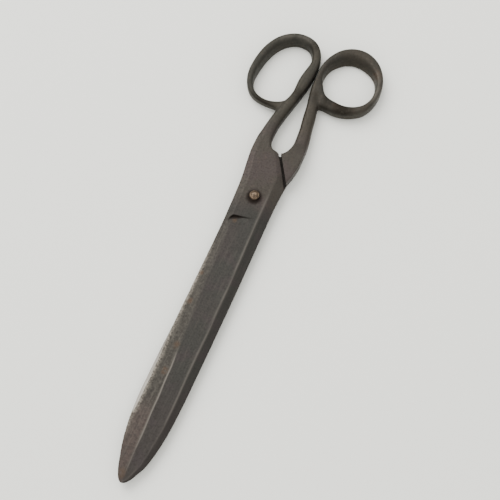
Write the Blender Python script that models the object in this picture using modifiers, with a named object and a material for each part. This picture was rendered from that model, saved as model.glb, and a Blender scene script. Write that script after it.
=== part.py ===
"""Forged fabric shears: two blades with bows, turning on one bolt.

The origin is the centre of the bolt head's underside, on the pivot axis. +Y runs from the
points to the bows, +Z is up, and the shears lie on the plane z = 0 with the blades closed.

Each half is described in its own view, from outside with the points away from the bows:
"across" grows from the cutting edge to the back, "along" is Y, and "above" is the height
over the plane where the blades meet. The lower half is the same construction turned over
about the Y axis.
"""

import math

import bmesh
import bpy
import numpy as np

MM = 0.001

# Heights and the pivot, in millimetres.
MEET_Z = 5.2
FACE_GAP = 0.15
BOW_CENTRE_Z = 4.6
BOLT_RADIUS = 2.2
BORE_RADIUS = 2.26
HEAD_RADIUS = 5.5
HEAD_TOP_Z = 0.9
WASHER_Z = (1.0, 1.55)
WASHER_RADIUS = 6.3
NUT_Z = (8.85, 10.5)
NUT_RADIUS = 3.45
BOLT_TOP_Z = 10.8

# The shoulder that each half's heel swings against: a line at this distance from the
# pivot, leaning by this angle from the Y axis.
SHOULDER_DISTANCE = 20.3
HEEL_DISTANCE = 19.0
SHOULDER_LEAN = math.radians(31.6)

# Where the flat heel has turned into the rounded shank, along Y.
SHANK_START = 36.0
SHANK_ROUND = 46.0
STATION_STEP = 3.2
STRAP_POWER = 3.2

# What the other half swings through, cut out beyond the shoulder: where the shoulder's line
# starts, how far out to the sides, past the points and past the half's own depth.
POCKET_START = 10.0
POCKET_SIDE = 40.0
POCKET_END = -220.0
POCKET_DEPTH = 20.0
BORE_LENGTH = 40.0

# How far a section reaches below the meeting plane before the inside face is cut: (along, depth).
# The heel is as deep as the shank, and what the other half swings through is then cut away.
INSIDE_DEPTH = [(-15, 1), (-8, 4.8)]

# Directions in degrees, seen along the shank, where a rounded section's points take over from
# the corners of the heel's: foot, edge, two ridges, back, foot, and round to the start.
STRAP_TURNS = (225, 165, 125, 55, 15, -45, -135)

# The least share of the width that each bevel keeps where the outline narrows.
BEVEL_SHARE = 0.15

# Where sections stand along the blade: beyond the point, evenly down the body, and about the
# step and the pivot. HEEL_COUNT of them cross the heel's slanted end.
POINT_REACHES = (0, 0.5, 1.5, 3, 5, 8, 11)
BODY_REACH, BODY_END, BODY_COUNT = 15.0, -22.0, 32
STEP_PLACES = [-18, -17, -15.5, -12, -8, -4, 0, 4, 8]
HEEL_COUNT = 8

# Points around one section: heel wall, cutting bevel, flat, back chamfer, back wall, inside.
WALL, BEVEL, FLAT, CHAMFER, INSIDE = 3, 2, 4, 2, 6

# Outline and height curves, each a list of (along, value).
UPPER_BLADE = {
    "edge": [(-190.9, 0.5), (-189.8, -1.2), (-185, -3.8), (-180, -5.5), (-170, -8.3), (-160, -10.2),
             (-152, -11.0), (-148, -10.1), (-125, -10.2), (-88, -11.4), (-20, -11.2), (0, -11.8),
             (10, -12.5), (20, -13.8), (30, -14.7), (40, -14.6), (48, -13.6)],
    "back": [(-190.9, 1.4), (-190.4, 2.6), (-188, 5), (-183, 7.6), (-178, 9.9), (-168, 12.2), (-160, 13.4),
             (-150, 14.2), (-130, 14.8), (-80, 15), (-20, 14.5), (-5, 14.3), (11.6, 15)],
    "heel": [(32.1, 2.5), (32.8, 1.5), (33.2, 0), (33.6, -1.7), (34.5, -3), (36.3, -4.2), (39, -5.2),
             (42, -5.7), (48, -5.7)],
    "edge_ridge": [(-190.9, 0.8), (-170, 0.5), (-150, -0.2), (-130, -0.8), (-100, -2.5), (-70, -4.5),
                   (-30, -6), (-18, -7.6), (-12, -9.4), (0, -9.6), (20, -11.6), (48, -11.4)],
    "back_ridge": [(-190.9, 1.1), (-188, 4), (-180, 7.5), (-165, 10), (-130, 10.3), (-40, 9.3), (-15, 8.5),
                   (16, 8.4)],
}
LOWER_BLADE = {
    "edge": [(-190.5, -1.4), (-188, -4), (-183, -6.6), (-178, -8.9), (-168, -11.3), (-150, -13.3),
             (-110, -14.1), (-50, -14), (0, -13.6), (8, -14.2), (17, -15.2), (22, -16.5), (30, -17.5),
             (42, -17.4), (48, -16.7)],
    "back": [(-190.5, -0.3), (-187, 2.2), (-180, 5), (-170, 7.8), (-160, 9.9), (-150, 11.4), (-135, 12),
             (-115, 11.9), (-80, 11.2), (-20, 10.9), (0, 11.4), (16, 12)],
    "heel": [(30.6, 2.9), (31.3, -0.4), (31.9, -3.4), (33, -5.0), (36, -7.2), (40, -8.2), (48, -8.1)],
    "edge_ridge": [(-190.5, -0.9), (-150, -3.5), (-100, -5.5), (-60, -7), (-18, -9.6), (-12, -11.4),
                   (0, -11.5), (20, -13.4), (48, -14.2)],
    "back_ridge": [(-190.5, -0.5), (-180, 2.4), (-165, 6), (-130, 7.3), (-40, 6.4), (16, 6.3)],
}
# Thicknesses over the inside face, the same for both blades.
THICKNESS = {
    "edge": [(-191.5, 0.3), (-60, 0.4), (-35, 0.5), (-22, 1.1), (-12, 2.3), (48, 2.4)],
    "edge_ridge": [(-191.5, 0.8), (-180, 1.3), (-160, 1.7), (-130, 2), (-60, 2.2), (-17, 2.6), (-15.5, 3.35),
                   (48, 3.4)],
    "back_ridge": [(-191.5, 0.9), (-180, 1.7), (-165, 2.1), (-110, 2.7), (-60, 3.1), (-15, 3.4), (48, 3.4)],
    "back": [(-191.5, 0.7), (-150, 1.1), (-50, 1.6), (0, 1.8), (14, 2.4), (24, 3), (48, 3)],
}

# Shank and bow: (across, along, thickness, height, lean) at points of the centre line, from
# the heel up the shank, round the bow and back into the shank. Lean is how far the foot of
# the band stands towards the hole from its top.
UPPER_BOW = [
    (-9.5, 36, 10.6, 8.6, 0), (-9.8, 42, 9.2, 8.6, 0), (-9.2, 50, 8.1, 8.7, 0), (-8, 57, 7.8, 8.8, 0),
    (-5.9, 66, 7.2, 8.8, 0), (-3.5, 76, 6.6, 9, 0), (-2.7, 85, 8.1, 9, 0), (-1.6, 94, 7.5, 9, 0),
    (-1.4, 102, 6.2, 9, 0.3), (-4, 108.6, 6, 9.2, 0.8), (-8.6, 112.7, 5.7, 9.2, 1.4),
    (-14, 113.9, 5.4, 9.2, 1.8), (-21.5, 112.2, 5.5, 9.2, 2), (-28.9, 105.7, 5.6, 9.2, 2.2),
    (-33.4, 96.4, 5.6, 9.2, 2), (-35.4, 86.5, 5.5, 9.2, 1.6), (-35.6, 77.5, 5, 9, 1),
    (-33.7, 70.8, 4.3, 8, 0.4), (-29.6, 65.8, 3.6, 7, 0), (-22.3, 63.2, 3.4, 6.2, 0), (-15.6, 63.2, 4.2, 6.2, 0),
    (-11.3, 64.1, 5.6, 6.4, 0), (-7.6, 66.4, 5.6, 6.6, 0), (-5.2, 70, 5, 6.8, 0),
]
LOWER_BOW = [
    (-12.3, 36, 10.2, 8.6, 0), (-12.7, 42, 9.5, 8.6, 0), (-12, 50, 8.7, 8.7, 0), (-11, 57, 8.1, 8.8, 0),
    (-9.9, 64, 8, 8.8, 0), (-8.7, 71, 7.4, 9, 0), (-7.2, 78, 7, 9, 0), (-5.7, 85.5, 5.8, 9, 0),
    (-5.2, 93, 4.4, 9.2, 1.2), (-5.9, 100.9, 4.4, 9.2, 2.1), (-9.7, 108.8, 5.6, 9.2, 3),
    (-15.4, 114.1, 6.7, 9.2, 3.8), (-24.2, 116.4, 7.6, 9.2, 4), (-33, 113.7, 7, 9.2, 3),
    (-39.6, 107.4, 5.4, 9.2, 1.4), (-42.8, 98.3, 4.5, 9.2, 0.4), (-42.3, 89.6, 4.2, 9.2, 0),
    (-38.3, 82, 5.3, 9.2, 0), (-31.3, 77.7, 6.5, 9.2, 0), (-23.7, 76.2, 7.6, 9.2, 0),
    (-17.4, 76.9, 8.4, 9.2, 0), (-12.3, 78.4, 8.6, 9, 0), (-9.2, 82.4, 6.6, 8.8, 0), (-7.2, 87.6, 4.6, 8.6, 0),
    (-5.2, 93, 3, 8.2, 0),
]

STEEL = {
    "finger_half": ((0.075, 0.065, 0.056, 1), 0.5),
    "thumb_half": ((0.07, 0.062, 0.054, 1), 0.52),
    "pivot_bolt": ((0.06, 0.05, 0.042, 1), 0.5),
    "pivot_washer": ((0.07, 0.058, 0.046, 1), 0.55),
    "pivot_nut": ((0.19, 0.13, 0.085, 1), 0.5),
}


def clear_scene():
    for thing in list(bpy.data.objects):
        bpy.data.objects.remove(thing)


def new_collection(name):
    group = bpy.data.collections.new(name)
    bpy.context.scene.collection.children.link(group)
    return group


def steel(name):
    colour, roughness = STEEL[name]
    material = bpy.data.materials.new(name)
    material.use_nodes = True
    shader = material.node_tree.nodes["Principled BSDF"]
    shader.inputs["Base Color"].default_value = colour
    shader.inputs["Metallic"].default_value = 0.8
    shader.inputs["Roughness"].default_value = roughness
    return material


def curve_value(points, at):
    """A smooth curve through points that never overshoots them (monotone cubic)."""
    x, y = np.array(points, float).T
    gap = np.diff(x)
    rise = np.diff(y) / gap
    slope = np.zeros(len(x))
    slope[0], slope[-1] = rise[0], rise[-1]
    for i in range(1, len(x) - 1):
        if rise[i - 1] * rise[i] > 0:
            before, after = 2 * gap[i] + gap[i - 1], gap[i] + 2 * gap[i - 1]
            slope[i] = (before + after) / (before / rise[i - 1] + after / rise[i])
    at = min(max(at, x[0]), x[-1])
    i = min(int(np.searchsorted(x, at, side="right")) - 1, len(gap) - 1)
    t = (at - x[i]) / gap[i]
    value = (1 + 2 * t) * (1 - t) ** 2 * y[i] + t * (1 - t) ** 2 * gap[i] * slope[i]
    return value + t * t * (3 - 2 * t) * y[i + 1] + t * t * (t - 1) * gap[i] * slope[i + 1]


def spline(rows):
    """A smooth curve (natural cubic) through rows of numbers, read by length along it."""
    rows = np.array(rows, float)
    reach = np.concatenate([[0], np.cumsum(np.hypot(*np.diff(rows[:, :2], axis=0).T))])
    gap = np.diff(reach)
    count = len(rows)
    matrix = np.eye(count)
    right = np.zeros((count, rows.shape[1]))
    for i in range(1, count - 1):
        matrix[i, i - 1:i + 2] = gap[i - 1], 2 * (gap[i - 1] + gap[i]), gap[i]
        right[i] = 6 * ((rows[i + 1] - rows[i]) / gap[i] - (rows[i] - rows[i - 1]) / gap[i - 1])
    bend = np.linalg.solve(matrix, right)

    def read(at):
        i = min(int(np.searchsorted(reach, at, side="right")) - 1, count - 2)
        g, a, b = gap[i], at - reach[i], reach[i + 1] - at
        value = (bend[i] * b ** 3 + bend[i + 1] * a ** 3) / (6 * g)
        return value + (rows[i] / g - bend[i] * g / 6) * b + (rows[i + 1] / g - bend[i + 1] * g / 6) * a

    return read, reach[-1]


def heel_line(along, distance):
    """How far across the heel line lies, at a distance from the pivot."""
    return (distance - math.sin(SHOULDER_LEAN) * along) / math.cos(SHOULDER_LEAN)


def back_edge(blade, along):
    """The back of the blade, then the heel's slanted end, then the inside of the shank."""
    corner = blade["back"][-1][0]
    end = blade["heel"][0][0]
    if along <= corner:
        return curve_value(blade["back"], along)
    if along >= end:
        return curve_value(blade["heel"], along)
    return heel_line(along, HEEL_DISTANCE)


def blade_corners(blade, along):
    """The section's corners at one place along the blade or heel: (across, above)."""
    edge = curve_value(blade["edge"], along)
    back = back_edge(blade, along)
    margin = BEVEL_SHARE * (back - edge)
    edge_ridge = min(curve_value(blade["edge_ridge"], along), back - 2 * margin)
    back_ridge = min(curve_value(blade["back_ridge"], along), back - margin)
    edge_ridge = min(max(edge_ridge, edge + margin), back_ridge - margin)
    thick = {name: FACE_GAP + curve_value(points, along) for name, points in THICKNESS.items()}
    foot = -curve_value(INSIDE_DEPTH, along)
    return [(edge, foot), (edge, thick["edge"]), (edge_ridge, thick["edge_ridge"]),
            (back_ridge, thick["back_ridge"]), (back, thick["back"]), (back, foot)]


def blade_section(blade, along):
    corners = blade_corners(blade, along)
    counts = (WALL, BEVEL, FLAT, CHAMFER, WALL, INSIDE)
    ring = []
    for i, count in enumerate(counts):
        start, end = np.array(corners[i]), np.array(corners[(i + 1) % len(corners)])
        for k in range(count):
            across, above = start + (end - start) * k / count
            ring.append((across, along, above))
    return np.array(ring)


def strap_section(row, heading, side):
    """A rounded band section square to the centre line, in the same order of points."""
    across, along, thick, height, lean = row
    counts = (WALL, BEVEL, FLAT, CHAMFER, WALL, INSIDE)
    outward = np.array([heading[1], -heading[0]])
    centre_above = side * (BOW_CENTRE_Z - MEET_Z)
    ring = []
    for i, count in enumerate(counts):
        for k in range(count):
            angle = math.radians(STRAP_TURNS[i] + (STRAP_TURNS[i + 1] - STRAP_TURNS[i]) * k / count)
            u, w = math.cos(angle), math.sin(angle)
            u = math.copysign(abs(u) ** (2 / STRAP_POWER), u)
            w = math.copysign(abs(w) ** (2 / STRAP_POWER), w)
            out = u * thick / 2 + side * w * lean / 2
            x, y = outward * out + (across, along)
            ring.append((x, y, centre_above + w * height / 2))
    return np.array(ring)


def shank_sections(blade, bow, side):
    read, length = spline(bow)
    count = round(length / STATION_STEP)
    rings = []
    for at in np.linspace(0, length, count + 1):
        row = read(at)
        ahead, behind = read(min(at + 0.05, length)), read(max(at - 0.05, 0))
        heading = (ahead - behind)[:2]
        ring = strap_section(row, heading / np.hypot(*heading), side)
        part = 1.0
        if at < 2 * (SHANK_ROUND - SHANK_START) and row[1] < SHANK_ROUND:
            part = max(row[1] - SHANK_START, 0) / (SHANK_ROUND - SHANK_START)
            part = part * part * (3 - 2 * part)
        if part < 1:
            ring = (1 - part) * blade_section(blade, row[1]) + part * ring
        rings.append(ring)
    return rings


def blade_stations(blade):
    """Places along the blade, closer together at the point, the step and the heel."""
    point, corner, end = blade["edge"][0][0], blade["back"][-1][0], blade["heel"][0][0]
    near_point = [point + reach for reach in POINT_REACHES]
    body = list(np.linspace(point + BODY_REACH, BODY_END, BODY_COUNT))
    heel = list(np.linspace(corner, end, HEEL_COUNT)) + [place for place, _ in blade["heel"][1:-1]]
    return near_point + body + STEP_PLACES + [place for place in heel if place < SHANK_START - 0.4]


def loft(name, rings, group):
    mesh = bpy.data.meshes.new(name)
    shape = bmesh.new()
    rows = [[shape.verts.new(tuple(point)) for point in ring] for ring in rings]
    for near, far in zip(rows, rows[1:]):
        for i in range(len(near)):
            j = (i + 1) % len(near)
            shape.faces.new((near[i], near[j], far[j], far[i]))
    shape.faces.new(rows[0])
    shape.faces.new(list(reversed(rows[-1])))
    bmesh.ops.recalc_face_normals(shape, faces=shape.faces)
    shape.to_mesh(mesh)
    shape.free()
    thing = bpy.data.objects.new(name, mesh)
    group.objects.link(thing)
    return thing


def prism(name, outline, low, high, group):
    """An upright prism on an outline of (x, y) points, as a filled curve made into a mesh."""
    curve = bpy.data.curves.new(name, "CURVE")
    curve.dimensions = "2D"
    curve.fill_mode = "BOTH"
    curve.extrude = (high - low) / 2
    line = curve.splines.new("POLY")
    line.points.add(len(outline) - 1)
    for point, (x, y) in zip(line.points, outline):
        point.co = (x, y, 0, 1)
    line.use_cyclic_u = True
    source = bpy.data.objects.new(name + "_outline", curve)
    source.location.z = (high + low) / 2
    group.objects.link(source)
    bpy.context.view_layer.update()
    ready = source.evaluated_get(bpy.context.evaluated_depsgraph_get())
    mesh = bpy.data.meshes.new_from_object(ready)
    shape = bmesh.new()
    shape.from_mesh(mesh)
    bmesh.ops.remove_doubles(shape, verts=shape.verts, dist=MM * 0.01)
    bmesh.ops.recalc_face_normals(shape, faces=shape.faces)
    shape.to_mesh(mesh)
    shape.free()
    thing = bpy.data.objects.new(name, mesh)
    thing.matrix_world = source.matrix_world
    bpy.data.objects.remove(source)
    group.objects.link(thing)
    return as_cutter(thing)


def as_cutter(thing):
    thing.hide_render = True
    thing.display_type = "WIRE"
    return thing


def cut(thing, cutter):
    """Takes the cutter out of a piece, and joins the piece where it runs into itself."""
    change = thing.modifiers.new(cutter.name, "BOOLEAN")
    change.operation = "DIFFERENCE"
    change.object = cutter
    change.solver = "EXACT"
    change.use_self = True


def pocket_cutter(name, side, group):
    """Everything on the far side of the meeting plane that the other half swings through."""
    low, top = POCKET_START, SHANK_START + 1
    outline = [(POCKET_SIDE, POCKET_END), (POCKET_SIDE, top), (-heel_line(top, SHOULDER_DISTANCE), top),
               (-heel_line(low, SHOULDER_DISTANCE), low), (-POCKET_SIDE, low), (-POCKET_SIDE, POCKET_END)]
    inside, outside = MEET_Z + side * FACE_GAP, MEET_Z - side * POCKET_DEPTH
    points = [(side * x * MM, y * MM) for x, y in outline]
    return prism(name, points, min(inside, outside) * MM, max(inside, outside) * MM, group)


def bore_cutter(group):
    bpy.ops.mesh.primitive_cylinder_add(vertices=64, radius=BORE_RADIUS * MM, depth=BORE_LENGTH * MM)
    bore = bpy.context.object
    bore.name = "pivot_bore"
    for owner in list(bore.users_collection):
        owner.objects.unlink(bore)
    group.objects.link(bore)
    return as_cutter(bore)


def shears_half(name, side, blade, bow, bore, group, cutters):
    """One forging. Side is 1 for the upper half and -1 for the lower, which is turned over."""
    rings = [blade_section(blade, along) for along in blade_stations(blade)]
    rings += shank_sections(blade, bow, side)
    turned = [ring * (side, 1, side) * MM + (0, 0, MEET_Z * MM) for ring in rings]
    half = loft(name, turned, group)
    half.data.materials.append(steel(name))
    cut(half, pocket_cutter(name + "_pocket", side, cutters))
    cut(half, bore)
    return half


def turned_piece(name, profile, group, closed=False, steps=48):
    """A profile of (radius, height) points turned about the pivot axis."""
    mesh = bpy.data.meshes.new(name)
    edges = [(i, i + 1) for i in range(len(profile) - 1)]
    if closed:
        edges.append((len(profile) - 1, 0))
    mesh.from_pydata([(r * MM, 0, z * MM) for r, z in profile], edges, [])
    thing = bpy.data.objects.new(name, mesh)
    group.objects.link(thing)
    screw = thing.modifiers.new("turn", "SCREW")
    screw.steps = steps
    screw.render_steps = steps
    screw.use_merge_vertices = True
    screw.merge_threshold = 0.00001
    thing.data.materials.append(steel(name))
    return thing


def pivot_bolt(group):
    """Flat head under the lower half, shank through both, end riveted into a low dome."""
    bevel = 0.3
    profile = [(0, BOLT_TOP_Z), (1.2, BOLT_TOP_Z - 0.1), (1.9, BOLT_TOP_Z - 0.35),
               (BOLT_RADIUS, BOLT_TOP_Z - 0.7), (BOLT_RADIUS, HEAD_TOP_Z), (HEAD_RADIUS - bevel, HEAD_TOP_Z),
               (HEAD_RADIUS, HEAD_TOP_Z - bevel), (HEAD_RADIUS, bevel), (HEAD_RADIUS - bevel, 0), (0, 0)]
    return turned_piece("pivot_bolt", profile, group)


def pivot_washer(group):
    low, high = WASHER_Z
    hole = BOLT_RADIUS + 0.1
    profile = [(hole, high), (WASHER_RADIUS, high), (WASHER_RADIUS, low), (hole, low)]
    return turned_piece("pivot_washer", profile, group, closed=True)


def pivot_nut(group):
    """A small round nut with a rounded top edge."""
    low, high = NUT_Z
    hole = BOLT_RADIUS + 0.1
    profile = [(hole, high), (NUT_RADIUS - 0.7, high), (NUT_RADIUS - 0.2, high - 0.3),
               (NUT_RADIUS, high - 0.8), (NUT_RADIUS, low), (hole, low)]
    return turned_piece("pivot_nut", profile, group, closed=True)


def build():
    clear_scene()
    group = new_collection("fabric_shears")
    cutters = new_collection("cutters")
    bore = bore_cutter(cutters)
    shears_half("finger_half", 1, UPPER_BLADE, UPPER_BOW, bore, group, cutters)
    shears_half("thumb_half", -1, LOWER_BLADE, LOWER_BOW, bore, group, cutters)
    pivot_bolt(group)
    pivot_washer(group)
    pivot_nut(group)


build()
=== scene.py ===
"""Antique forged fabric shears on a pale floor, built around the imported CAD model."""

import math
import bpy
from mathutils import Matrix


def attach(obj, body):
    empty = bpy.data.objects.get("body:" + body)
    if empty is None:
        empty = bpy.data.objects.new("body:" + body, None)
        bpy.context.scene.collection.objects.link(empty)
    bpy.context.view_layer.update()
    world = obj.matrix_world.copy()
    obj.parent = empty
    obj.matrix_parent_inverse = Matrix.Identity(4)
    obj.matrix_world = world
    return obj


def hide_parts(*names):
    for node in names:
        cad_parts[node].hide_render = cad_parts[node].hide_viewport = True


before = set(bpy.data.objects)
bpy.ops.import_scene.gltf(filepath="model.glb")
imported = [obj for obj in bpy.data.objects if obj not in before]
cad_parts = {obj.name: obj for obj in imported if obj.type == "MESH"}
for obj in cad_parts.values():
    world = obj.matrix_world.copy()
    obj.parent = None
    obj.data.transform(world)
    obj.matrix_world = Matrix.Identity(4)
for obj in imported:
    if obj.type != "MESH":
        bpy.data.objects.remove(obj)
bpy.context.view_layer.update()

from types import SimpleNamespace

import bmesh
import bpy
import numpy as np
from mathutils import Vector, kdtree, noise

MM = 0.001

# Lengths are in millimetres and agree with the CAD model. The pivot is at x = y = 0, and the
# blades point to -y. "Along" is y. "Across" is x for the upper half and -x for the lower one.
MEET_Z = 5.2
FACE_GAP = 0.15
BOW_CENTRE_Z = 4.6
BORE_RADIUS = 2.26
BORE_SIDES = 64
# The shoulder of one half and the heel of the other: how far each line is from the pivot.
SHOULDER_DISTANCE = 20.3
HEEL_DISTANCE = 19.0
SHOULDER_LEAN = math.radians(31.6)
SHOULDER_LOW = 10.0
# The blade's section turns into the shank's rounded one between these places along.
SHANK_START = 36.0
SHANK_ROUND = 46.0
# How far a section goes below the meeting plane before the other blade's pocket is cut away.
INSIDE_DEPTH = [(-15, 1), (-8, 4.8)]
# Degrees round a rounded section that face each corner of the blade's section.
STRAP_TURNS = (225, 165, 125, 55, 15, -45, -135)
STRAP_POWER = 3.1
BEVEL_SHARE = 0.15
NICKS_FROM = -25

# Outline and height curves of the blades and heels, each a list of (along, value).
UPPER_BLADE = {
    "edge": [(-190.9, 0.5), (-189.8, -1.2), (-185, -3.8), (-180, -5.5), (-170, -8.3), (-160, -10.2),
             (-152, -11.0), (-148, -10.1), (-125, -10.2), (-88, -11.4), (-20, -11.2), (0, -11.8),
             (10, -12.5), (20, -13.8), (30, -14.7), (40, -14.6), (48, -13.6)],
    "back": [(-190.9, 1.4), (-190.4, 2.6), (-188, 5), (-183, 7.6), (-178, 9.9), (-168, 12.2),
             (-160, 13.4), (-150, 14.2), (-130, 14.8), (-80, 15), (-20, 14.5), (-5, 14.3), (11.6, 15)],
    "heel": [(32.1, 2.5), (32.8, 1.5), (33.2, 0), (33.6, -1.7), (34.5, -3), (36.3, -4.2), (39, -5.2),
             (42, -5.7), (48, -5.7)],
    "edge_ridge": [(-190.9, 0.8), (-170, 0.5), (-150, -0.2), (-130, -0.8), (-100, -2.5), (-70, -4.5),
                   (-30, -6), (-18, -7.6), (-12, -9.4), (0, -9.6), (20, -11.6), (48, -11.4)],
    "back_ridge": [(-190.9, 1.1), (-188, 4), (-180, 7.5), (-165, 10), (-130, 10.3), (-40, 9.3),
                   (-15, 8.5), (16, 8.4)],
}
LOWER_BLADE = {
    "edge": [(-190.5, -1.4), (-188, -4), (-183, -6.6), (-178, -8.9), (-168, -11.3), (-150, -13.3),
             (-110, -14.1), (-50, -14), (0, -13.6), (8, -14.2), (17, -15.2), (22, -16.5), (30, -17.5),
             (42, -17.4), (48, -16.7)],
    "back": [(-190.5, -0.3), (-187, 2.2), (-180, 5), (-170, 7.8), (-160, 9.9), (-150, 11.4), (-135, 12),
             (-115, 11.9), (-80, 11.2), (-20, 10.9), (0, 11.4), (16, 12)],
    "heel": [(30.6, 2.9), (31.3, -0.4), (31.9, -3.4), (33, -5.0), (36, -7.2), (40, -8.2), (48, -8.1)],
    "edge_ridge": [(-190.5, -0.9), (-150, -3.5), (-100, -5.5), (-60, -7), (-18, -9.6), (-12, -11.4),
                   (0, -11.5), (20, -13.4), (48, -14.2)],
    "back_ridge": [(-190.5, -0.5), (-180, 2.4), (-165, 6), (-130, 7.3), (-40, 6.4), (16, 6.3)],
}
# Thickness over the inside face at each corner. The forged step at the end of the heel's flat is
# left out here and added with STEP_CURVE.
THICKNESS = {
    "edge": [(-191.5, 0.3), (-60, 0.4), (-35, 0.5), (-22, 1.1), (-12, 2.3), (48, 2.4)],
    "edge_ridge": [(-191.5, 0.8), (-180, 1.3), (-160, 1.7), (-130, 2), (-60, 2.2), (-17, 2.6), (-5, 2.7),
                   (48, 2.7)],
    "back_ridge": [(-191.5, 0.9), (-180, 1.7), (-165, 2.1), (-110, 2.7), (-60, 3.1), (-15, 3.4),
                   (48, 3.4)],
    "back": [(-191.5, 0.7), (-150, 1.1), (-50, 1.6), (0, 1.8), (14, 2.4), (24, 3), (48, 3)],
}
HEEL_THICKNESS = 3.38
# Where the step crosses the blade: (across, along), from its hooked end at the bevel to the back.
STEP_CURVE = [(-9.5, -20.5), (-8.3, -19), (-7.4, -17.6), (-6.2, -16.6), (-3, -16), (0, -15.5), (3, -15),
              (6, -14.3), (12, -13)]

# Shank and bow: (across, along, thickness, height, lean).
UPPER_BOW = [
    (-9.5, 36, 10.6, 8.6, 0), (-9.8, 42, 9.2, 8.6, 0), (-9.2, 50, 8.1, 8.7, 0), (-8, 57, 7.8, 8.8, 0),
    (-5.9, 66, 7.2, 8.8, 0), (-3.5, 76, 6.6, 9, 0), (-2.7, 85, 8.1, 9, 0), (-1.6, 94, 7.5, 9, 0),
    (-1.4, 102, 6.2, 9, 0.3), (-4, 108.6, 6, 9.2, 0.8), (-8.6, 112.7, 5.7, 9.2, 1.4),
    (-14, 113.9, 5.4, 9.2, 1.8), (-21.5, 112.2, 5.5, 9.2, 2), (-28.9, 105.7, 5.6, 9.2, 2.2),
    (-33.4, 96.4, 5.6, 9.2, 2), (-35.4, 86.5, 5.5, 9.2, 1.6), (-35.6, 77.5, 5, 9, 1),
    (-33.7, 70.8, 4.3, 8, 0.4), (-29.6, 65.8, 3.6, 7, 0), (-22.3, 63.2, 3.4, 6.2, 0),
    (-15.6, 63.2, 4.2, 6.2, 0), (-11.3, 64.1, 5.6, 6.4, 0), (-7.6, 66.4, 5.6, 6.6, 0), (-5.2, 70, 5, 6.8, 0),
]
LOWER_BOW = [
    (-12.3, 36, 10.2, 8.6, 0), (-12.7, 42, 9.5, 8.6, 0), (-12, 50, 8.7, 8.7, 0), (-11, 57, 8.1, 8.8, 0),
    (-9.9, 64, 8, 8.8, 0), (-8.7, 71, 7.4, 9, 0), (-7.2, 78, 7, 9, 0), (-5.7, 85.5, 5.8, 9, 0),
    (-5.2, 93, 4.4, 9.2, 1.2), (-5.9, 100.9, 4.4, 9.2, 2.1), (-9.7, 108.8, 5.6, 9.2, 3),
    (-15.4, 114.1, 6.7, 9.2, 3.8), (-24.2, 116.4, 7.6, 9.2, 4), (-33, 113.7, 7, 9.2, 3),
    (-39.6, 107.4, 5.4, 9.2, 1.4), (-42.8, 98.3, 4.5, 9.2, 0.4), (-42.3, 89.6, 4.2, 9.2, 0),
    (-38.3, 82, 5.3, 9.2, 0), (-31.3, 77.7, 6.5, 9.2, 0), (-23.7, 76.2, 7.6, 9.2, 0),
    (-17.4, 76.9, 8.4, 9.2, 0), (-12.3, 78.4, 8.6, 9, 0), (-9.2, 82.4, 6.6, 8.8, 0),
    (-7.2, 87.6, 4.6, 8.6, 0), (-5.2, 93, 3, 8.2, 0),
]

# Points along each side of a section (wall, bevel, flat, chamfer, wall, inside) and the radius
# that rounds each corner (foot, edge, edge ridge, back ridge, back, foot), with points per corner.
SIDE_COUNTS = (5, 14, 24, 10, 6, 12)
CORNER_RADII = (0.3, 0.12, 0.5, 0.45, 0.35, 0.3)
CORNER_COUNT = 4
CORNER_SHARE = 0.1
RING_STEP = 0.95
# The welded tail's first rings lie inside the bow's last ones, so that the two meshes overlap.
PLUG_SHARES = (0.75, 0.9, 0.97)
UPPER_TAIL = 12
LOWER_TAIL = 21
# The crease at the weld: where it may start, how far the softening reaches, and how often.
WELD_START = 55
WELD_REACH = 4.5
WELD_ROUNDS = 40
CREASE_ANGLE = math.radians(18)
FORGED_SHARP_ANGLE = math.radians(38)
TURNED_SHARP_ANGLE = math.radians(50)
SAME_PLACE = 0.02
UPPER_SEED = 2.0
LOWER_SEED = 17.0


def smooth(value):
    value = min(max(value, 0.0), 1.0)
    return value * value * (3 - 2 * value)


class Curve:
    """A smooth curve through points that never overshoots them (monotone cubic)."""

    def __init__(self, points):
        self.x, self.y = np.array(points, float).T
        self.gap = np.diff(self.x)
        rise = np.diff(self.y) / self.gap
        slope = np.zeros(len(self.x))
        slope[0], slope[-1] = rise[0], rise[-1]
        for i in range(1, len(self.x) - 1):
            if rise[i - 1] * rise[i] > 0:
                before, after = 2 * self.gap[i] + self.gap[i - 1], self.gap[i] + 2 * self.gap[i - 1]
                slope[i] = (before + after) / (before / rise[i - 1] + after / rise[i])
        self.slope = slope

    def __call__(self, at):
        x, y, gap, slope = self.x, self.y, self.gap, self.slope
        at = min(max(at, x[0]), x[-1])
        i = min(int(np.searchsorted(x, at, side="right")) - 1, len(gap) - 1)
        t = (at - x[i]) / gap[i]
        value = (1 + 2 * t) * (1 - t) ** 2 * y[i] + t * (1 - t) ** 2 * gap[i] * slope[i]
        return value + t * t * (3 - 2 * t) * y[i + 1] + t * t * (t - 1) * gap[i] * slope[i + 1]


def spline(rows):
    """A smooth curve (natural cubic) through rows of numbers, read by length along it."""
    rows = np.array(rows, float)
    reach = np.concatenate([[0], np.cumsum(np.hypot(*np.diff(rows[:, :2], axis=0).T))])
    gap = np.diff(reach)
    count = len(rows)
    matrix = np.eye(count)
    right = np.zeros((count, rows.shape[1]))
    for i in range(1, count - 1):
        matrix[i, i - 1:i + 2] = gap[i - 1], 2 * (gap[i - 1] + gap[i]), gap[i]
        right[i] = 6 * ((rows[i + 1] - rows[i]) / gap[i] - (rows[i] - rows[i - 1]) / gap[i - 1])
    bend = np.linalg.solve(matrix, right)

    def read(at):
        i = min(int(np.searchsorted(reach, at, side="right")) - 1, count - 2)
        g, a, b = gap[i], at - reach[i], reach[i + 1] - at
        value = (bend[i] * b ** 3 + bend[i + 1] * a ** 3) / (6 * g)
        return value + (rows[i] / g - bend[i] * g / 6) * b + (rows[i + 1] / g - bend[i + 1] * g / 6) * a

    return read, reach[-1]


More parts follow.
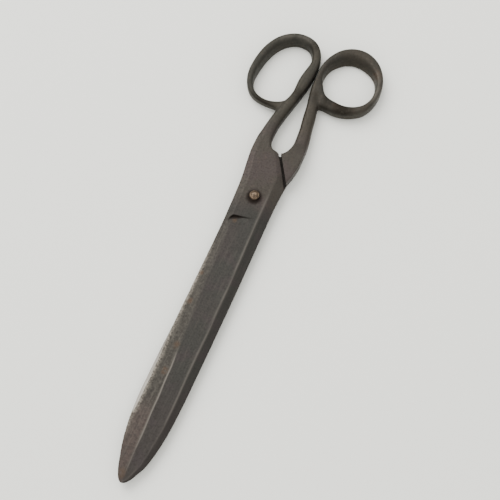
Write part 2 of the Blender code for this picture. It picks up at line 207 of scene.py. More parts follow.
def curves_of(table):
    return {name: Curve(points) for name, points in table.items()}


THICK = curves_of(THICKNESS)
DEPTH = Curve(INSIDE_DEPTH)
STEP_LINE = Curve(STEP_CURVE)


def heel_line(along, distance):
    return (distance - math.sin(SHOULDER_LEAN) * along) / math.cos(SHOULDER_LEAN)


def back_edge(blade, along):
    corner, end = blade["back"].x[-1], blade["heel"].x[0]
    if along <= corner:
        return blade["back"](along)
    if along >= end:
        return blade["heel"](along)
    return heel_line(along, HEEL_DISTANCE)


def wander(along, seed, size, scale):
    """A smooth wobble along the blade, always the same for the same seed."""
    return size * noise.noise(Vector((along / scale, seed, 0.5)))


def blade_corners(blade, along, seed, raised):
    """The section's corners: (across, above). raised puts in the thicker heel beyond the step."""
    edge = blade["edge"](along)
    back = back_edge(blade, along)
    nick = wander(along, seed, 0.16, 2.2) + wander(along, seed + 3, 0.12, 0.9)
    if along < NICKS_FROM:
        edge += max(nick, -0.02) * min(1, (NICKS_FROM - along) / 20)
    margin = BEVEL_SHARE * (back - edge)
    edge_ridge = min(blade["edge_ridge"](along), back - 2 * margin)
    back_ridge = min(blade["back_ridge"](along), back - margin)
    edge_ridge = min(max(edge_ridge, edge + margin), back_ridge - margin)
    fade = smooth((-20 - along) / 20)
    edge_ridge += fade * wander(along, seed + 5, 0.35, 14)
    back_ridge += fade * wander(along, seed + 7, 0.3, 18)
    ridge_height = HEEL_THICKNESS if raised else THICK["edge_ridge"](along)
    foot = -DEPTH(along)
    return [(edge, foot), (edge, FACE_GAP + THICK["edge"](along)), (edge_ridge, FACE_GAP + ridge_height),
            (back_ridge, FACE_GAP + THICK["back_ridge"](along)), (back, FACE_GAP + THICK["back"](along)),
            (back, foot)]


def rounded_section(corners):
    """The corners' outline as points, each corner rounded by its own radius."""
    corners = np.array(corners)
    count = len(corners)
    starts, ends, rounds = [], [], []
    for i in range(count):
        here, before, after = corners[i], corners[i - 1], corners[(i + 1) % count]
        to_before, to_after = before - here, after - here
        reach_before, reach_after = np.hypot(*to_before), np.hypot(*to_after)
        cut = min(CORNER_RADII[i], 0.4 * reach_before, 0.4 * reach_after)
        enter, leave = here + to_before * cut / reach_before, here + to_after * cut / reach_after
        ts = np.arange(CORNER_COUNT)[:, None] / CORNER_COUNT
        rounds.append((1 - ts) ** 2 * enter + 2 * ts * (1 - ts) * here + ts ** 2 * leave)
        starts.append(leave)
        ends.append(enter)
    points = []
    for i in range(count):
        points.extend(rounds[i])
        start, end = starts[i], ends[(i + 1) % count]
        for k in range(SIDE_COUNTS[i]):
            points.append(start + (end - start) * k / SIDE_COUNTS[i])
    return np.array(points)


def ring_places():
    """Each section point's place round the section, counted in corners."""
    places = []
    for i, count in enumerate(SIDE_COUNTS):
        places += [i - CORNER_SHARE + 2 * CORNER_SHARE * k / CORNER_COUNT for k in range(CORNER_COUNT)]
        places += [i + CORNER_SHARE + (1 - 2 * CORNER_SHARE) * k / count for k in range(count)]
    return places


def strap_turns():
    """The direction, round a rounded section, of each of a ring's points."""
    turns = []
    for place in ring_places():
        if place < 0:
            place, lap = place + len(SIDE_COUNTS), 360
        else:
            lap = 0
        i = int(place)
        turns.append(STRAP_TURNS[i] + (STRAP_TURNS[i + 1] - STRAP_TURNS[i]) * (place - i) + lap)
    return np.radians(turns)


TURNS = strap_turns()


def step_share(across, along):
    """How far a point is beyond the forged step, from 0 on the blade to 1 on the heel's flat."""
    width = 0.45 + 5 * smooth((-7.2 - across) / 2.2) + 0.9 * smooth(across / 8)
    return smooth((along - STEP_LINE(across)) / width + 0.5)


def hollow_depth(across, along):
    """The dent at the foot of the step, deepest at its hooked end."""
    below = STEP_LINE(across) - along
    if below < 0 or below > 4:
        return 0
    return 0.5 * smooth(below / 0.4) * smooth((3.6 - below) / 3) * smooth((across + 8.6) / 1.5) \
        * smooth((4 - across) / 9)


def blade_ring(blade, along, seed):
    low = rounded_section(blade_corners(blade, along, seed, False))
    high = rounded_section(blade_corners(blade, along, seed, True))
    ring = []
    for (across, above), (_, raised) in zip(low, high):
        share = step_share(across, along)
        above = above + (raised - above) * share - hollow_depth(across, along)
        ring.append((across, along, above))
    return np.array(ring)


def strap_ring(row, heading, side):
    across, along, thick, height, lean = row
    power = 2 / STRAP_POWER
    u = np.sign(np.cos(TURNS)) * np.abs(np.cos(TURNS)) ** power
    w = np.sign(np.sin(TURNS)) * np.abs(np.sin(TURNS)) ** power
    out = u * thick / 2 + side * w * lean / 2
    above = side * (BOW_CENTRE_Z - MEET_Z) + w * height / 2
    return np.column_stack([across + heading[1] * out, along - heading[0] * out, above])


def shank_rings(blade, bow, side, seed):
    read, length = spline(bow)
    rings = []
    for at in np.linspace(0, length, round(length / RING_STEP) + 1):
        row = read(at)
        ahead, behind = read(min(at + 0.05, length)), read(max(at - 0.05, 0))
        heading = (ahead - behind)[:2]
        ring = strap_ring(row, heading / np.hypot(*heading), side)
        if at < 2 * (SHANK_ROUND - SHANK_START) and row[1] < SHANK_ROUND:
            part = smooth((row[1] - SHANK_START) / (SHANK_ROUND - SHANK_START))
            ring = (1 - part) * blade_ring(blade, row[1], seed) + part * ring
        rings.append(ring)
    return rings


def blade_places(blade):
    point, corner, end = blade["edge"].x[0], blade["back"].x[-1], blade["heel"].x[0]
    places = [point + reach for reach in (0, 0.25, 0.6, 1, 1.5, 2.1, 2.8, 3.6)]
    places += list(np.arange(point + 4.4, -24, 0.8))
    places += list(np.arange(-23.6, -12, 0.22))
    places += list(np.arange(-11.6, corner - 0.3, 0.8))
    places += list(np.linspace(corner, end, 26))
    return places + list(np.arange(end + 0.4, SHANK_START - 0.2, 0.5))


def add_object(name, data):
    thing = bpy.data.objects.new(name, data)
    bpy.context.scene.collection.objects.link(thing)
    return thing


def object_from(shape, name):
    """Turns a finished bmesh into an object, with its faces pointing outwards."""
    bmesh.ops.recalc_face_normals(shape, faces=shape.faces)
    mesh = bpy.data.meshes.new(name)
    shape.to_mesh(mesh)
    shape.free()
    return add_object(name, mesh)


def mesh_from_rings(name, rings):
    shape = bmesh.new()
    rows = [[shape.verts.new(tuple(point)) for point in ring] for ring in rings]
    for near, far in zip(rows, rows[1:]):
        for i in range(len(near)):
            j = (i + 1) % len(near)
            shape.faces.new((near[i], near[j], far[j], far[i]))
    shape.faces.new(rows[0])
    shape.faces.new(list(reversed(rows[-1])))
    return object_from(shape, name)


def upright_prism(name, outline, low, high):
    shape = bmesh.new()
    bottom = [shape.verts.new((x * MM, y * MM, low * MM)) for x, y in outline]
    top = [shape.verts.new((x * MM, y * MM, high * MM)) for x, y in outline]
    shape.faces.new(bottom)
    shape.faces.new(list(reversed(top)))
    for i in range(len(outline)):
        j = (i + 1) % len(outline)
        shape.faces.new((bottom[j], bottom[i], top[i], top[j]))
    return object_from(shape, name)


def pocket(side):
    """Everything that is cut off a half so that the other half fits beside it."""
    top, low = SHANK_START + 1, SHOULDER_LOW
    outline = [(40, -220), (40, top), (-heel_line(top, SHOULDER_DISTANCE), top),
               (-heel_line(low, SHOULDER_DISTANCE), low), (-40, low), (-40, -220)]
    inside, outside = MEET_Z + side * FACE_GAP, MEET_Z - side * 20
    turned = [(side * x, y) for x, y in outline]
    return upright_prism("pocket", turned, min(inside, outside), max(inside, outside))


def bore():
    angles = [k * math.tau / BORE_SIDES for k in range(BORE_SIDES)]
    outline = [(BORE_RADIUS * math.cos(angle), BORE_RADIUS * math.sin(angle)) for angle in angles]
    return upright_prism("bore", outline, -20, 20)


def combine(thing, other, operation):
    change = thing.modifiers.new(other.name, "BOOLEAN")
    change.operation = operation
    change.object = other
    change.solver = "MANIFOLD"
    bake_modifiers(thing)
    bpy.data.objects.remove(other)


def bake_modifiers(thing):
    bpy.context.view_layer.update()
    ready = thing.evaluated_get(bpy.context.evaluated_depsgraph_get())
    mesh = bpy.data.meshes.new_from_object(ready)
    thing.modifiers.clear()
    old = thing.data
    thing.data = mesh
    bpy.data.meshes.remove(old)
    mesh.name = thing.name


def soften_creases(thing, from_along, reach, rounds):
    """Rounds the hollow crease where the bow's tail is welded into the shank."""
    shape = bmesh.new()
    shape.from_mesh(thing.data)
    bmesh.ops.remove_doubles(shape, verts=shape.verts, dist=SAME_PLACE * MM)
    bmesh.ops.triangulate(shape, faces=[f for f in shape.faces if len(f.verts) > 4])
    creases = []
    for edge in shape.edges:
        if len(edge.link_faces) == 2 and edge.verts[0].co.y > from_along * MM:
            if edge.calc_face_angle_signed(0) < -CREASE_ANGLE:
                creases += [vert.co.copy() for vert in edge.verts]
    tree = kdtree.KDTree(len(creases))
    for i, place in enumerate(creases):
        tree.insert(place, i)
    tree.balance()
    near = []
    for vert in shape.verts:
        if creases and vert.co.y > (from_along - 5) * MM:
            distance = tree.find(vert.co)[2]
            if distance < reach * MM:
                near.append((vert, smooth(1 - distance / (reach * MM))))
    for _ in range(rounds):
        moved = []
        for vert, share in near:
            neighbours = [edge.other_vert(vert).co for edge in vert.link_edges]
            middle = sum(neighbours, Vector()) / len(neighbours)
            moved.append(vert.co.lerp(middle, 0.5 * share))
        for (vert, _), place in zip(near, moved):
            vert.co = place
    shape.to_mesh(thing.data)
    shape.free()


def forge_marks(thing, side, seed):
    """Hand-forged unevenness, larger on the shank and bow than on the blade. The inside faces,
    the seat round the bolt and the walls between the heels stay as they are."""
    mesh = thing.data
    normals = [vert.normal.copy() for vert in mesh.vertices]
    inside = (MEET_Z + side * FACE_GAP) * MM
    for vert, normal in zip(mesh.vertices, normals):
        x, y, z = vert.co / MM
        if abs(vert.co.z - inside) < SAME_PLACE * MM and y < SHANK_START + 1:
            continue
        if math.hypot(x, y) < 4.5 or (abs(side * x - 11) < 8 and 9 < y < 38 and abs(normal.z) < 0.5):
            continue
        on_bow = smooth((y - 30) / 20)
        wave = noise.noise(Vector((x / 9, y / 11, z / 9 + seed)))
        fine = noise.noise(Vector((x / 2.6, y / 3.2, z / 2.6 + seed + 9)))
        depth = (0.03 + 0.08 * on_bow) * (wave - 0.45) + (0.012 + 0.02 * on_bow) * (fine - 0.4)
        if abs(z - MEET_Z) < 0.8 and on_bow == 0:
            depth *= 0.3
        vert.co = vert.co + normal * depth * MM
    mesh.update()


def bell(distance, width):
    return math.exp(-(distance / width) ** 2)


def dirt_and_shade(x, y):
    """Old oil and dust round the nut with a painted shadow below it, and painted shade in the hollow under
    the forged step.
    """
    # Painted shadow: the dark ring is centred a little below the nut.
    ring = smooth((6 - math.hypot(x - 0.2, y + 0.8)) / 2.6)
    # Painted shade in the hollow under the step.
    below = STEP_LINE(x) - y
    depth = 3.6 - 2.6 * smooth((x + 6.5) / 7)
    hollow = smooth((below + 0.5) / 0.7) * smooth((depth - below) / (0.9 * depth))
    hollow *= smooth((x + 9.2) / 2) * smooth((6 - x) / 10)
    return max(0.72 * ring, 0.78 * hollow)


def in_gap(across, along, outward):
    """Painted shade: 1 on the walls of the slot between the two heels, below its top edges."""
    beyond = across - heel_line(along, (HEEL_DISTANCE + SHOULDER_DISTANCE) / 2)
    share = smooth((1.5 - abs(beyond)) / 0.5) * smooth((2.9 - outward) / 0.5)
    return share * smooth((along - 8) / 3) * smooth((38 - along) / 3)


def spot_share(x, y, spots):
    share = 0.0
    for spot_x, spot_y, size, amount in spots:
        distance = math.hypot(x - spot_x, (y - spot_y) * 0.8)
        share = max(share, amount * smooth(1.3 - distance / size))
    return share


def paint(thing, side, blade, seed, spots, shadows, worn_and_sheen):
    """Stores what the material needs at each point: bevel; bare edge with a painted highlight; rubbed places
    with painted highlights; rust; brown patches of painted shade; and oil and dust round the nut with
    painted shade, plus painted shade under the step and in the slot.
    """
    mesh = thing.data
    names = ("bevel", "edge", "wear_and_sheen", "rust", "brown", "grime_and_shade")
    values = {name: np.zeros(len(mesh.vertices), np.float32) for name in names}
    lines = {}
    for i, vert in enumerate(mesh.vertices):
        x, y, z = vert.co / MM
        across, outward = side * x, side * (z - MEET_Z)
        if y < 40 and outward > FACE_GAP + 0.1:
            key = round(y, 2)
            if key not in lines:
                lines[key] = [corner[0] for corner in blade_corners(blade, key, seed, key > -16)]
            edge, _, ridge, back_ridge, _, _ = lines[key]
            crisp = smooth((-105 - y) / 12) * smooth((y + 172) / 12)
            soft = 2.6 - 2 * crisp
            values["bevel"][i] = smooth((ridge - across) / soft + 0.5) * smooth((-12 - y) / 8)
            # Pale bare metal along the cutting edge, brightened further as a painted highlight.
            values["edge"][i] = bell(across - edge, 1.5) * smooth((-30 - y) / 30) * smooth((y + 168) / 15)
            tip = smooth((-160 - y) / 10) * smooth((y + 188) / 10)
            # Light lines along the ridges: rubbed bare metal with a painted highlight.
            back_share = 0.45 * smooth((14 - y) / 20) * (1 - 0.6 * smooth((-140 - y) / 25))
            values["wear_and_sheen"][i] = max(bell(across - ridge, 0.4) * (0.05 + 0.9 * crisp + 0.35 * tip),
                                    bell(across - back_ridge + 0.4, 0.7) * back_share)
        else:
            # Lighter places on the bows' tops: rubbed metal with a painted highlight.
            values["wear_and_sheen"][i] = spot_share(x, y, worn_and_sheen) * smooth((z - 6) / 2)
        # Oil and dust with painted shade round the nut, and painted shade under the step, on the upper half.
        if side > 0 and outward > 0:
            values["grime_and_shade"][i] = dirt_and_shade(x, y)
        # Painted shade on the walls of the slot between the heels.
        slot_x = x if z > MEET_Z else -x
        values["grime_and_shade"][i] = max(values["grime_and_shade"][i], 0.8 * in_gap(slot_x, y, abs(outward)))
        values["rust"][i] = spot_share(x, y, spots)
        # Brown patches of painted shade on the bows' upper faces.
        values["brown"][i] = spot_share(x, y, shadows) * smooth((z - 5) / 2)
    for name in names:
        mesh.attributes.new(name, "FLOAT", "POINT").data.foreach_set("value", values[name])


def forging(name, side, blade, bow, tail, seed):
    """Blade, shank and bow in one, with the bow's tail (its last rings) welded into the shank."""
    rings = [blade_ring(blade, along, seed) for along in blade_places(blade)]
    rings += shank_rings(blade, bow, side, seed)
    turned = [ring * (side, 1, side) * MM + (0, 0, MEET_Z * MM) for ring in rings]
    split = len(turned) - round(tail / RING_STEP)
    half = mesh_from_rings(name, turned[:split])
    plug = [ring.mean(axis=0) + (ring - ring.mean(axis=0)) * share
            for ring, share in zip(turned[split - 3:split], PLUG_SHARES)]
    combine(half, mesh_from_rings("tail", plug + turned[split:]), "UNION")
    combine(half, pocket(side), "DIFFERENCE")
    combine(half, bore(), "DIFFERENCE")
    soften_creases(half, WELD_START, WELD_REACH, WELD_ROUNDS)
    return half


def shears_half(name, side, table, bow, tail, seed, spots, shadows, worn_and_sheen):
    blade = curves_of(table)
    half = forging(name, side, blade, bow, tail, seed)
    forge_marks(half, side, seed)
    paint(half, side, blade, seed, spots, shadows, worn_and_sheen)
    half.data.shade_smooth()
    half.data.set_sharp_from_angle(angle=FORGED_SHARP_ANGLE)
    return half


def turned_piece(name, profile, wobble, seed, steps=96):
    """A closed profile of (radius, height) turned about the pivot, uneven by wobble."""
    shape = bmesh.new()
    rows = []
    for k in range(steps):
        angle = math.tau * k / steps
        row = []
        for radius, height in profile:
            if radius == 0:
                row.append(None)
                continue
            place = Vector((math.cos(angle) * 1.3, math.sin(angle) * 1.3, height * 0.6 + seed))
            r = radius * (1 - wobble * max(0, 0.4 + noise.noise(place)))
            row.append(shape.verts.new((r * MM * math.cos(angle), r * MM * math.sin(angle), height * MM)))
        rows.append(row)
    on_axis = [i for i, (radius, _) in enumerate(profile) if radius == 0]
    ends = {i: shape.verts.new((0, 0, profile[i][1] * MM)) for i in on_axis}
    pairs = [(i, i + 1) for i in range(len(profile) - 1)]
    if profile[0][0] > 0:
        pairs.append((len(profile) - 1, 0))
    for k in range(steps):
        near, far = rows[k], rows[(k + 1) % steps]
        for i, j in pairs:
            corners = [near[i] or ends[i], near[j] or ends[j], far[j] or ends[j], far[i] or ends[i]]
            unique = list(dict.fromkeys(corners))
            if len(unique) > 2:
                shape.faces.new(unique)
    thing = object_from(shape, name)
    thing.data.shade_smooth()
    thing.data.set_sharp_from_angle(angle=TURNED_SHARP_ANGLE)
    return thing


class Nodes:
    """Short calls for building a material's node tree."""

    def __init__(self, name):
        self.material = bpy.data.materials.new(name)
        self.material.use_nodes = True
        self.tree = self.material.node_tree
        self.shader = self.tree.nodes["Principled BSDF"]
        texture = self.tree.nodes.new("ShaderNodeTexCoord")
        self.place = self.scaled(texture.outputs["Object"], 1 / MM)

    def link(self, source, socket):
        if isinstance(source, (int, float, tuple)):
            socket.default_value = source
        else:
            self.tree.links.new(source, socket)

    def scaled(self, vector, factor, each=(1, 1, 1)):
        node = self.tree.nodes.new("ShaderNodeVectorMath")
        node.operation = "MULTIPLY"
        self.link(vector, node.inputs[0])
        node.inputs[1].default_value = [factor * part for part in each]
        return node.outputs[0]

    def axis(self, letter):
        """One coordinate of the place on the piece, in millimetres."""
        node = self.tree.nodes.new("ShaderNodeSeparateXYZ")
        self.link(self.place, node.inputs[0])
        return node.outputs[letter]

    def math(self, operation, first, second=0.0, clamp=False):
        node = self.tree.nodes.new("ShaderNodeMath")
        node.operation = operation
        node.use_clamp = clamp
        self.link(first, node.inputs[0])
        self.link(second, node.inputs[1])
        return node.outputs[0]

    def noise(self, size, detail=3.0, roughness=0.55, stretch=(1, 1, 1), shift=0.0):
        """Noise from 0 to 1 whose features are about size millimetres."""
        node = self.tree.nodes.new("ShaderNodeTexNoise")
        node.inputs["Scale"].default_value = 1 / size
        node.inputs["Detail"].default_value = detail
        node.inputs["Roughness"].default_value = roughness
        vector = self.scaled(self.place, 1, stretch)
        if shift:
            moved = self.tree.nodes.new("ShaderNodeVectorMath")
            moved.operation = "ADD"
            self.link(vector, moved.inputs[0])
            moved.inputs[1].default_value = (shift, shift * 0.7, shift * 1.3)
            vector = moved.outputs[0]
        self.link(vector, node.inputs["Vector"])
        return node.outputs["Fac"]

    def cells(self, size, shift=0.0):
        node = self.tree.nodes.new("ShaderNodeTexVoronoi")
        node.inputs["Scale"].default_value = 1 / size
        moved = self.tree.nodes.new("ShaderNodeVectorMath")
        moved.operation = "ADD"
        self.link(self.place, moved.inputs[0])
        moved.inputs[1].default_value = (shift, shift, shift)
        self.link(moved.outputs[0], node.inputs["Vector"])
        return node.outputs["Distance"]

    def ramp(self, value, low, high):
        """0 below low, 1 above high (or the other way round when low is the larger)."""
        node = self.tree.nodes.new("ShaderNodeMapRange")
        node.interpolation_type = "SMOOTHSTEP"
        self.link(value, node.inputs["Value"])
        node.inputs["From Min"].default_value = low
        node.inputs["From Max"].default_value = high
        return node.outputs["Result"]

    def mix(self, share, first, second):
        node = self.tree.nodes.new("ShaderNodeMix")
        node.data_type = "RGBA"
        self.link(share, node.inputs["Factor"])
        self.link(first, node.inputs["A"])
        self.link(second, node.inputs["B"])
        return node.outputs["Result"]

    def mix_value(self, share, first, second):
        node = self.tree.nodes.new("ShaderNodeMix")
        node.data_type = "FLOAT"
        self.link(share, node.inputs["Factor"])
        self.link(first, node.inputs["A"])
        self.link(second, node.inputs["B"])
        return node.outputs["Result"]

    def stored(self, name):
        node = self.tree.nodes.new("ShaderNodeAttribute")
        node.attribute_name = name
        return node.outputs["Fac"]

    def bump(self, height, strength, distance):
        node = self.tree.nodes.new("ShaderNodeBump")
        node.inputs["Strength"].default_value = strength
        node.inputs["Distance"].default_value = distance * MM
        self.link(height, node.inputs["Height"])
        return node.outputs["Normal"]


def rgb(red, green, blue):
    """A colour given as it looks on a screen, from 0 to 255."""
    def linear(value):
        value /= 255
        return value / 12.92 if value <= 0.04045 else ((value + 0.055) / 1.055) ** 2.4
    return (linear(red), linear(green), linear(blue), 1)


def patina_noises(n, shift):
    """The noises that the patina's layers share."""
    return SimpleNamespace(
        broad=n.noise(30, 2, 0.5, shift=shift),
        other=n.noise(16, 2, 0.5, shift=shift + 31),
        fine=n.noise(1.1, 4, 0.6, shift=shift + 11),
        grain=n.noise(0.35, 3, 0.6, shift=shift + 5),
        blotch=n.noise(2.2, 5, 0.65, shift=shift + 3),
        streak=n.noise(1.3, 4, 0.6, stretch=(1, 0.06, 1), shift=shift + 40))


def body_colour(n, look, handle_light, handle_dark):
    """The brown-grey skin of the blade's flats, of the heel and of the handle."""
    heel = n.ramp(n.axis("Y"), -14.0, 2.0)
    handle = n.ramp(n.axis("Y"), 36.0, 58.0)
    colour = n.mix(n.ramp(look.broad, 0.42, 0.62), rgb(45, 41, 39), rgb(42, 41, 38))
    colour = n.mix(n.math("MULTIPLY", n.ramp(look.other, 0.52, 0.66), 0.7), colour, rgb(47, 41, 41))
    colour = n.mix(heel, colour, n.mix(n.ramp(look.other, 0.4, 0.6), rgb(52, 48, 43), rgb(55, 48, 46)))
    colour = n.mix(handle, colour, n.mix(n.ramp(look.broad, 0.4, 0.6), handle_light, handle_dark))
    colour = n.mix(n.math("MULTIPLY", n.ramp(look.streak, 0.4, 0.75), 0.25), colour, rgb(64, 60, 55))
    colour = n.mix(n.math("MULTIPLY", n.ramp(look.fine, 0.5, 0.75), 0.3), colour, rgb(36, 33, 30))
    mottle = n.math("MULTIPLY", n.ramp(look.blotch, 0.52, 0.66), n.math("MULTIPLY", heel, 0.3))
    return n.mix(mottle, colour, rgb(70, 60, 53))


def bevel_layer(n, look, colour, bevel):
    """The ground bevel: blotched grey, browner towards the point, with pale streaks."""
    skin = n.mix(n.ramp(look.blotch, 0.36, 0.62), rgb(55, 52, 47), rgb(42, 39, 35))
    point = n.ramp(n.axis("Y"), -135.0, -155.0)
    skin = n.mix(point, skin, n.mix(n.ramp(look.blotch, 0.38, 0.66), rgb(63, 54, 50), rgb(52, 45, 42)))
    skin = n.mix(n.math("MULTIPLY", n.ramp(look.streak, 0.45, 0.7), 0.4), skin, rgb(74, 70, 64))
    bare = n.math("MULTIPLY", bevel, n.mix_value(n.ramp(n.axis("Y"), -40.0, -75.0), 0.65, 0.95))
    return n.mix(bare, colour, skin)


def dot_layer(n, colour, bevel, pits, shift):
    """Dark pits, most of them on the bevel, and pale dots there."""
    share = n.math("MULTIPLY", pits, n.math("ADD", n.math("MULTIPLY", bevel, 0.45), 0.08))
    colour = n.mix(share, colour, rgb(28, 25, 23))
    pale_dot = n.ramp(n.cells(1.1, shift + 20), 0.14, 0.05)
    return n.mix(n.math("MULTIPLY", pale_dot, n.math("MULTIPLY", bevel, 0.5)), colour, rgb(96, 92, 84))


def stain_and_shade_layer(n, look, colour, wear_and_sheen, brown, grime_and_shade):
    """Bare metal along the edge and on rubbed places, with painted highlights; rust spots; brown patches of
    painted shade; and oil and dust with painted shade.
    """
    edge = n.math("MULTIPLY", n.stored("edge"), n.ramp(look.fine, 0.75, 0.3))
    # Bare metal along the edge with a painted highlight.
    colour = n.mix(edge, colour, rgb(124, 118, 108))
    # Rubbed places and ridge lines, lightened with a painted highlight.
    colour = n.mix(wear_and_sheen, colour, rgb(86, 82, 76))
    rust = n.math("MULTIPLY", n.stored("rust"), n.ramp(look.blotch, 0.3, 0.55), clamp=True)
    colour = n.mix(rust, colour, rgb(64, 50, 38))
    # Brown patches of painted shade.
    colour = n.mix(brown, colour, rgb(26, 22, 16))
    # Oil and dust round the nut, with painted shade there, under the step and in the slot.
    return n.mix(grime_and_shade, colour, rgb(26, 18, 14))


def inside_layer(n, look, colour, inner, inside, shift):
    """The inside face: painted shade by the pivot, dull grey beyond it, and bright polished metal round the
    rim, lightened further as a painted reflection.
    """
    # Painted shade: the inside face is dark by the pivot.
    colour = n.mix(inner, colour, rgb(24, 19, 16))
    polish = n.noise(0.9, 4, 0.6, stretch=(2.5, 0.1, 1), shift=shift + 8)
    polished_and_sheen = n.mix(n.ramp(polish, 0.35, 0.65), rgb(76, 72, 66), rgb(96, 92, 85))
    polished_and_sheen = n.mix(n.math("MULTIPLY", n.ramp(look.other, 0.48, 0.68), 0.4), polished_and_sheen, rgb(70, 62, 53))
    polished_and_sheen = n.mix(n.math("MULTIPLY", n.ramp(look.fine, 0.55, 0.75), 0.5), polished_and_sheen, rgb(60, 52, 44))
    sides = n.ramp(n.math("ABSOLUTE", n.axis("X")), 8.0, 11.0)
    rim = n.math("MAXIMUM", sides, n.ramp(n.axis("Y"), -140.0, -178.0))
    rim = n.math("MULTIPLY", rim, n.ramp(n.axis("Y"), -80.0, -140.0))
    # Round the rim: polished metal, brightened as a painted reflection.
    polished_and_sheen = n.mix(rim, polished_and_sheen, n.mix(n.ramp(polish, 0.35, 0.65), rgb(136, 131, 123), rgb(158, 154, 147)))
    return n.mix(inside, colour, polished_and_sheen)


def patina_steel(name, shift, inside_z, handle_light, handle_dark):
    """Old forged steel: brown-grey skin in soft patches, pitted along the bevel, rubbed bare at edges and
    ridges with painted highlights, and painted shade in the hollows, the slot and on the bows.
    """
    n = Nodes(name)
    look = patina_noises(n, shift)
    bevel = n.stored("bevel")
    # Oil and dust round the nut, with painted shade there, under the step and in the slot.
    grime_and_shade = n.stored("grime_and_shade")
    pits = n.math("MULTIPLY", n.ramp(n.cells(0.8, shift), 0.2, 0.05), n.ramp(look.blotch, 0.42, 0.55))
    # Rubbed places and ridge lines with a painted highlight.
    wear_and_sheen = n.math("MULTIPLY", n.stored("wear_and_sheen"), n.ramp(look.streak, 0.2, 0.5))
    # Brown patches of painted shade.
    brown = n.math("MULTIPLY", n.stored("brown"), n.ramp(look.blotch, 0.2, 0.5), clamp=True)
    above = n.math("ABSOLUTE", n.math("SUBTRACT", n.axis("Z"), inside_z))
    inner = n.ramp(above, 0.09, 0.05)
    inside = n.math("MULTIPLY", inner, n.ramp(n.axis("Y"), -10.0, -60.0))

    colour = body_colour(n, look, handle_light, handle_dark)
    colour = bevel_layer(n, look, colour, bevel)
    colour = dot_layer(n, colour, bevel, pits, shift)
    colour = stain_and_shade_layer(n, look, colour, wear_and_sheen, brown, grime_and_shade)
    colour = inside_layer(n, look, colour, inner, inside, shift)
    n.link(colour, n.shader.inputs["Base Color"])

    rough = n.mix_value(n.ramp(look.fine, 0.35, 0.7), 0.5, 0.66)
    rough = n.mix_value(wear_and_sheen, rough, 0.42)
    rough = n.mix_value(inside, rough, 0.36)
    rough = n.mix_value(grime_and_shade, rough, 0.9)
    n.link(rough, n.shader.inputs["Roughness"])
    dull = n.math("MAXIMUM", grime_and_shade, n.math("MULTIPLY", brown, 0.6))
    n.link(n.mix_value(dull, 0.5, 0.1), n.shader.inputs["Specular IOR Level"])
    n.shader.inputs["Metallic"].default_value = 0.7

    height = n.math("ADD", n.math("MULTIPLY", look.fine, 0.7), n.math("MULTIPLY", look.grain, 0.3))
    height = n.math("ADD", height, n.math("MULTIPLY", pits, -0.9))
    height = n.math("ADD", height, n.math("MULTIPLY", look.streak, n.math("MULTIPLY", bevel, 0.5)))
    n.link(n.bump(height, 0.4, 0.08), n.shader.inputs["Normal"])
    return n.material


def bolt_steel(name, warm, dark, metallic, shift, dirt_and_shade_top=0.0):
    """Steel with a warm oxide skin; below a given height in mm it is darkened with oil and dust and painted
    shade.
    """
    n = Nodes(name)
    broad = n.noise(1.5, 4, 0.6, shift=shift)
    fine = n.noise(0.5, 4, 0.6, shift=shift + 7)
    colour = n.mix(n.ramp(broad, 0.38, 0.62), warm, dark)
    colour = n.mix(n.math("MULTIPLY", n.ramp(fine, 0.5, 0.7), 0.5), colour, rgb(60, 50, 40))
    # Below the given height: oil and dust with painted shade on the lower sides.
    if dirt_and_shade_top:
        level = n.math("ADD", n.axis("Z"), n.math("MULTIPLY", broad, 0.6))
        dirt_and_shade_share = n.ramp(level, dirt_and_shade_top + 0.5, dirt_and_shade_top - 0.7)
        colour = n.mix(n.math("MULTIPLY", dirt_and_shade_share, 0.85), colour, rgb(30, 24, 18))
    n.link(colour, n.shader.inputs["Base Color"])
    n.link(n.mix_value(fine, 0.42, 0.6), n.shader.inputs["Roughness"])
    n.shader.inputs["Metallic"].default_value = metallic
    height = n.math("ADD", n.math("MULTIPLY", broad, 0.8), n.math("MULTIPLY", fine, 0.4))
    n.link(n.bump(height, 0.8, 0.3), n.shader.inputs["Normal"])
    return n.material


def plain(name, colour, roughness):
    """The floor's material: one colour with a barely visible grain."""
    n = Nodes(name)
    darker = tuple(part * 0.985 for part in colour[:3]) + (1,)
    n.link(n.mix(n.noise(4, 3), colour, darker), n.shader.inputs["Base Color"])
    n.shader.inputs["Roughness"].default_value = roughness
    n.shader.inputs["Specular IOR Level"].default_value = 0.2
    return n.material


def stand_for(piece, node, body, material):
    piece.data.materials.clear()
    piece.data.materials.append(material)
    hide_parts(node)
    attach(piece, body)


# The stage, in metres: the camera has the working view, from above and a little to the right.
CAMERA_PLACE = (0.12008, -0.28113, 0.71189)
CAMERA_TARGET = (0.0113, -0.0325, 0.005)
CAMERA_LENS = 90
FLOOR_HALF_SIZE = 2.5
WORLD_STRENGTH = 1.45
KEY_PLACE = (-0.9, 0.55, 1.3)
KEY_TARGET = (0, -0.03, 0)
KEY_SIZE = 1.4
KEY_POWER = 27


def add_camera():
    data = bpy.data.cameras.new("camera")
    data.lens = CAMERA_LENS
    data.sensor_width = 36
    camera = add_object("camera", data)
    camera.location = CAMERA_PLACE
    camera.rotation_euler = aim(camera.location, CAMERA_TARGET)
    data.clip_start = 0.01
    bpy.context.scene.camera = camera


def aim(place, target):
    """The rotation that turns a camera's or a light's -Z from place towards target."""
    return (Vector(target) - place).to_track_quat("-Z", "Y").to_euler()


def add_light(name, place, target, size, power, colour):
    data = bpy.data.lights.new(name, "AREA")
    data.shape = "DISK"
    data.size = size
    data.energy = power
    data.color = colour
    light = add_object(name, data)
    light.location = place
    light.rotation_euler = aim(light.location, target)


